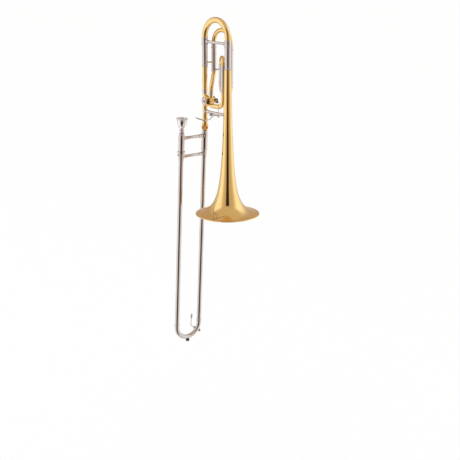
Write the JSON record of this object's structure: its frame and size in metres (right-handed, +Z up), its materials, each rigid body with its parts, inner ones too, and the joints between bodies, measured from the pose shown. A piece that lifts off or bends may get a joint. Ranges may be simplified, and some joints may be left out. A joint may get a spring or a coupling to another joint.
{
  "type": "trombone",
  "caption": "Slide trombone with rotary valve, wrapped valve tubing, thumb lever, tuning slides, flared bell and a long U-shaped hand slide with water key.",
  "frame": {"origin": "centre of the bell mouth, in the plane of the rim", "axes": "+Z up the bell's axis towards the tuning slide, +X from the neckpipe to the bell axis, +Y towards the wrapped valve tubing"},
  "size_m": [0.2837, 0.2233, 1.1546],
  "materials": {
    "lacquered_brass": "polished, clear lacquer",
    "bare_brass": "turned, unlacquered, oiled",
    "nickel_silver": "polished nickel silver",
    "chromed_slide": "hard chrome, buffed",
    "silver_plate": "polished silver plate",
    "steel_wire": "drawn spring wire",
    "steel_screws": "turned, polished",
    "black_bumper": "matt black rubber",
    "cork": "natural cork"
  },
  "bodies": {
    "bell_section": {"bell": "lacquered_brass", "bell_tail": "lacquered_brass", "rim_wire": "steel_wire", "bell_brace": "nickel_silver", "bell_brace_flanges": "nickel_silver", "main_sleeve_left": "nickel_silver", "main_sleeve_right": "nickel_silver", "main_out_tube": "lacquered_brass", "neckpipe": "lacquered_brass", "valve_casing": "lacquered_brass", "valve_cap": "nickel_silver", "bearing_plate": "lacquered_brass", "stop_bumpers": "black_bumper", "f_feed_tube": "lacquered_brass", "f_sleeves": "nickel_silver", "f_lower_bow": "lacquered_brass", "small_sleeve_d": "nickel_silver", "small_sleeve_e": "nickel_silver", "f_return_tube": "lacquered_brass", "tube_ferrules": "nickel_silver", "wrap_stays": "lacquered_brass", "lever_saddle": "nickel_silver", "lever_spring": "steel_wire", "neckpipe_receiver": "lacquered_brass"},
    "tuning_slide": {"tuning_crook": "lacquered_brass", "tuning_legs": "nickel_silver", "tuning_ferrules": "nickel_silver", "tuning_brace": "nickel_silver", "tuning_brace_flanges": "nickel_silver"},
    "f_tuning_slide": {"f_crook": "lacquered_brass", "f_legs": "nickel_silver", "f_crook_ferrules": "nickel_silver"},
    "small_f_slide": {"small_crook": "lacquered_brass", "small_legs": "nickel_silver", "small_crook_ferrules": "nickel_silver"},
    "valve_rotor": {"rotor": "bare_brass", "stop_arm": "nickel_silver", "stop_screws": "steel_screws"},
    "link": {"link_rod": "nickel_silver"},
    "lever": {"thumb_lever": "lacquered_brass", "thumb_paddle": "nickel_silver"},
    "lock_nut": {"bell_lock_nut": "lacquered_brass"},
    "slide_section": {"slide_tenon": "nickel_silver", "inner_tubes": "chromed_slide", "cork_barrels": "nickel_silver", "barrel_corks": "cork", "inner_brace": "nickel_silver", "mouthpiece_receiver": "nickel_silver"},
    "slide_lock": {"slide_lock_ring": "nickel_silver"},
    "outer_slide": {"outer_tubes": "nickel_silver", "outer_top_sleeves": "nickel_silver", "outer_brace": "nickel_silver", "end_crook": "nickel_silver", "crook_ferrules": "nickel_silver", "slide_bumper": "black_bumper", "water_key_saddle": "nickel_silver", "water_key_spring": "steel_wire"},
    "key": {"water_key": "nickel_silver", "water_key_cork": "black_bumper"},
    "mouthpiece_body": {"mouthpiece": "silver_plate"}
  },
  "joints": [
    {"name": "hand_slide", "type": "slide", "parent": "slide_section", "child": "outer_slide", "axis": [-0.0541, 0, -0.9985], "range_m": [0, 0.58]},
    {"name": "tuning_slide_pull", "type": "slide", "parent": "bell_section", "child": "tuning_slide", "axis": [0, 0, 1], "range_m": [0, 0.045]},
    {"name": "f_slide_pull", "type": "slide", "parent": "bell_section", "child": "f_tuning_slide", "axis": [0, 0, 1], "range_m": [0, 0.045]},
    {"name": "small_f_slide_pull", "type": "slide", "parent": "bell_section", "child": "small_f_slide", "axis": [0, 0, 1], "range_m": [0, 0.025]},
    {"name": "thumb_trigger", "type": "hinge", "parent": "bell_section", "child": "lever", "pos_m": [-0.081, 0, 0.327], "axis": [1, 0, 0], "range_deg": [0, 25.83], "stiffness_Nm_per_rad": 0.12, "springref_deg": -34.38},
    {"name": "rotor_turn", "type": "hinge", "parent": "bell_section", "child": "valve_rotor", "pos_m": [-0.101, 0, 0.373], "axis": [0, -1, 0], "range_deg": [0, 90]},
    {"name": "link_pivot", "type": "hinge", "parent": "valve_rotor", "child": "link", "pos_m": [-0.09252, 0.037, 0.36451], "axis": [0, -1, 0], "range_deg": [-90, 0]},
    {"name": "lock_nut_turn", "type": "hinge", "parent": "bell_section", "child": "lock_nut", "pos_m": [-0.118, 0, 0.3], "axis": [0.0541, 0, 0.9985], "continuous": true},
    {"name": "slide_swivel", "type": "hinge", "parent": "bell_section", "child": "slide_section", "pos_m": [-0.118, 0, 0.3], "axis": [0.0541, 0, 0.9985], "range_deg": [-12, 12]},
    {"name": "slide_lock_turn", "type": "hinge", "parent": "slide_section", "child": "slide_lock", "pos_m": [-0.1281, -0.09587, 0.20641], "axis": [0.0541, 0, 0.9985], "range_deg": [0, 45]},
    {"name": "water_key_press", "type": "hinge", "parent": "outer_slide", "child": "key", "pos_m": [-0.17232, -0.00801, -0.46371], "axis": [0.0743, 0.5728, 0.8163], "range_deg": [0, 12], "stiffness_Nm_per_rad": 0.03, "springref_deg": -28.65},
    {"name": "mouthpiece_pull", "type": "slide", "parent": "slide_section", "child": "mouthpiece_body", "axis": [0.0541, 0, 0.9985], "range_m": [0, 0.03]}
  ],
  "couplings": [
    {"joint": "rotor_turn", "follows": "thumb_trigger", "ratio": 3.4843},
    {"joint": "link_pivot", "follows": "thumb_trigger", "ratio": -3.4843}
  ]
}
